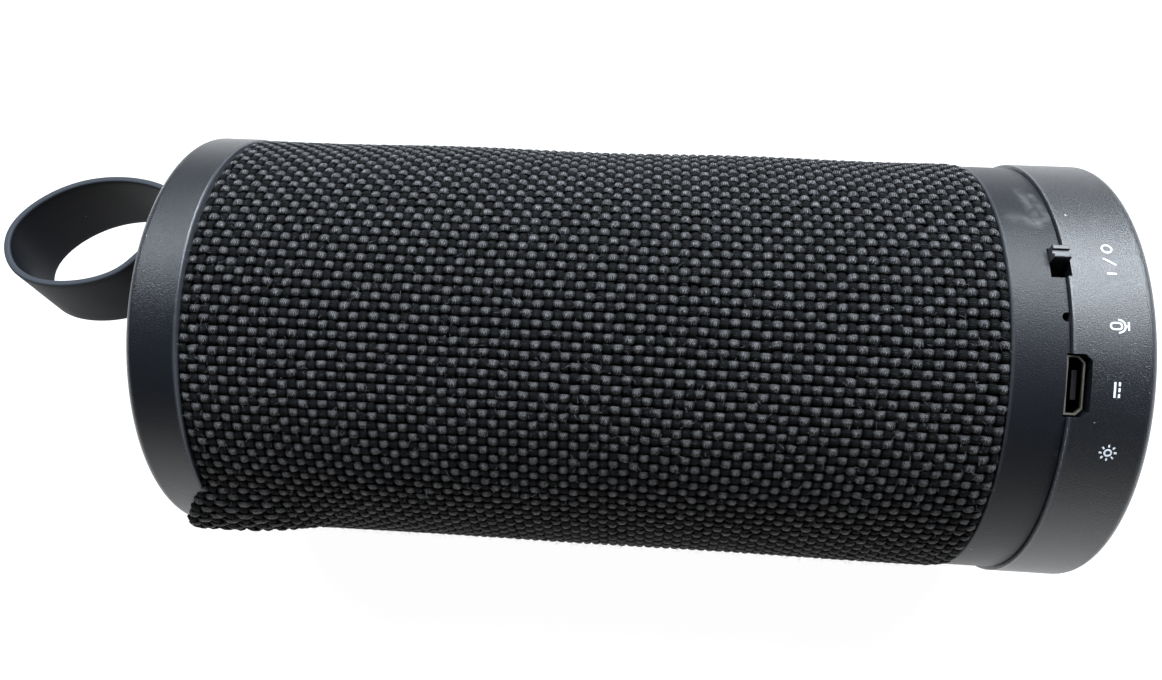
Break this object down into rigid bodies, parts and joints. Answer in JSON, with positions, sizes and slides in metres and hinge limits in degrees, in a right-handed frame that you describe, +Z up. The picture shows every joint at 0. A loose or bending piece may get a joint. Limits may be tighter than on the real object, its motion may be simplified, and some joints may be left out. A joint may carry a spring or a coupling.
{
  "type": "portable bluetooth speaker",
  "caption": "Cylindrical portable bluetooth speaker with a woven sleeve, black end caps, edge sockets and a looped silicone wrist strap.",
  "frame": {"origin": "on the surface that the speaker lies on, at the middle of its length with the strap included", "axes": "+X along the body's axis from the strap end to the control end, +Z up with the slide switch on top, -Y towards the side where the USB socket is turned"},
  "size_m": [0.1762, 0.064, 0.0648],
  "materials": {
    "black_plastic": "satin, finely textured",
    "trim_plastic": "gloss",
    "button_plastic": "matt",
    "knob_plastic": "matt",
    "silicone": "matt",
    "fabric": "plain weave",
    "inner_plastic": "moulded",
    "screw_steel": "zinc plated",
    "socket_steel": "plated",
    "socket_plastic": "matt",
    "circuit_board": "solder mask",
    "light_pipe": "clear",
    "microphone_metal": "plain",
    "magnet_steel": "zinc plated",
    "paper_cone": "coated paper",
    "rubber_roll": "matt",
    "radiator_weight": "matt",
    "cell_wrap": "shrink wrap",
    "foam": "foam"
  },
  "bodies": {
    "speaker": {"acoustic_tub": "inner_plastic", "baffle_plate": "inner_plastic", "baffle_screws": "screw_steel", "battery_cell": "cell_wrap", "battery_foam": "foam", "board_chips": "socket_plastic", "control_cap": "black_plastic", "control_cap_screws": "screw_steel", "control_panel": "trim_plastic", "driver_gaskets": "rubber_roll", "fabric_sleeve": "fabric", "grille_cover": "inner_plastic", "key_switches": "socket_plastic", "led_light_pipe": "light_pipe", "left_bulkhead": "inner_plastic", "left_cap_screws": "screw_steel", "left_driver_basket": "inner_plastic", "left_driver_magnet": "magnet_steel", "left_driver_surround": "rubber_roll", "left_end_cap": "black_plastic", "left_trim_disc": "trim_plastic", "main_board": "circuit_board", "microphone": "microphone_metal", "port_ring": "black_plastic", "radiator_frame": "inner_plastic", "radiator_surround": "rubber_roll", "right_bulkhead": "inner_plastic", "right_driver_basket": "inner_plastic", "right_driver_magnet": "magnet_steel", "right_driver_surround": "rubber_roll", "status_led": "light_pipe", "strap": "silicone", "strap_clamp": "inner_plastic", "strap_screws": "screw_steel", "switch_body": "socket_plastic", "usb_shell": "socket_steel", "usb_tongue": "socket_plastic"},
    "minus_key": {"minus_button": "button_plastic", "minus_key_stem": "socket_plastic"},
    "play_key": {"play_button": "button_plastic", "play_key_stem": "socket_plastic"},
    "plus_key": {"plus_button": "button_plastic", "plus_key_stem": "socket_plastic"},
    "power_switch": {"switch_knob": "knob_plastic"},
    "left_cone": {"left_driver_cone": "paper_cone", "left_dust_cap": "paper_cone"},
    "right_cone": {"right_driver_cone": "paper_cone", "right_dust_cap": "paper_cone"},
    "radiator": {"radiator_plate": "radiator_weight"}
  },
  "joints": [
    {"name": "minus_press", "type": "slide", "parent": "speaker", "child": "minus_key", "axis": [-1, 0, 0], "range_m": [0, 0.0004], "stiffness_N_per_m": 400, "springref_m": -0.001},
    {"name": "play_press", "type": "slide", "parent": "speaker", "child": "play_key", "axis": [-1, 0, 0], "range_m": [0, 0.0004], "stiffness_N_per_m": 400, "springref_m": -0.001},
    {"name": "plus_press", "type": "slide", "parent": "speaker", "child": "plus_key", "axis": [-1, 0, 0], "range_m": [0, 0.0004], "stiffness_N_per_m": 400, "springref_m": -0.001},
    {"name": "power_slide", "type": "slide", "parent": "speaker", "child": "power_switch", "axis": [0, -0.9988, 0.048], "range_m": [0, 0.002]},
    {"name": "left_cone_travel", "type": "slide", "parent": "speaker", "child": "left_cone", "axis": [0, 0, 1], "range_m": [-0.001, 0.001], "stiffness_N_per_m": 900},
    {"name": "right_cone_travel", "type": "slide", "parent": "speaker", "child": "right_cone", "axis": [0, 0, 1], "range_m": [-0.001, 0.001], "stiffness_N_per_m": 900},
    {"name": "radiator_travel", "type": "slide", "parent": "speaker", "child": "radiator", "axis": [0, 0, 1], "range_m": [-0.0015, 0.0015], "stiffness_N_per_m": 500}
  ]
}
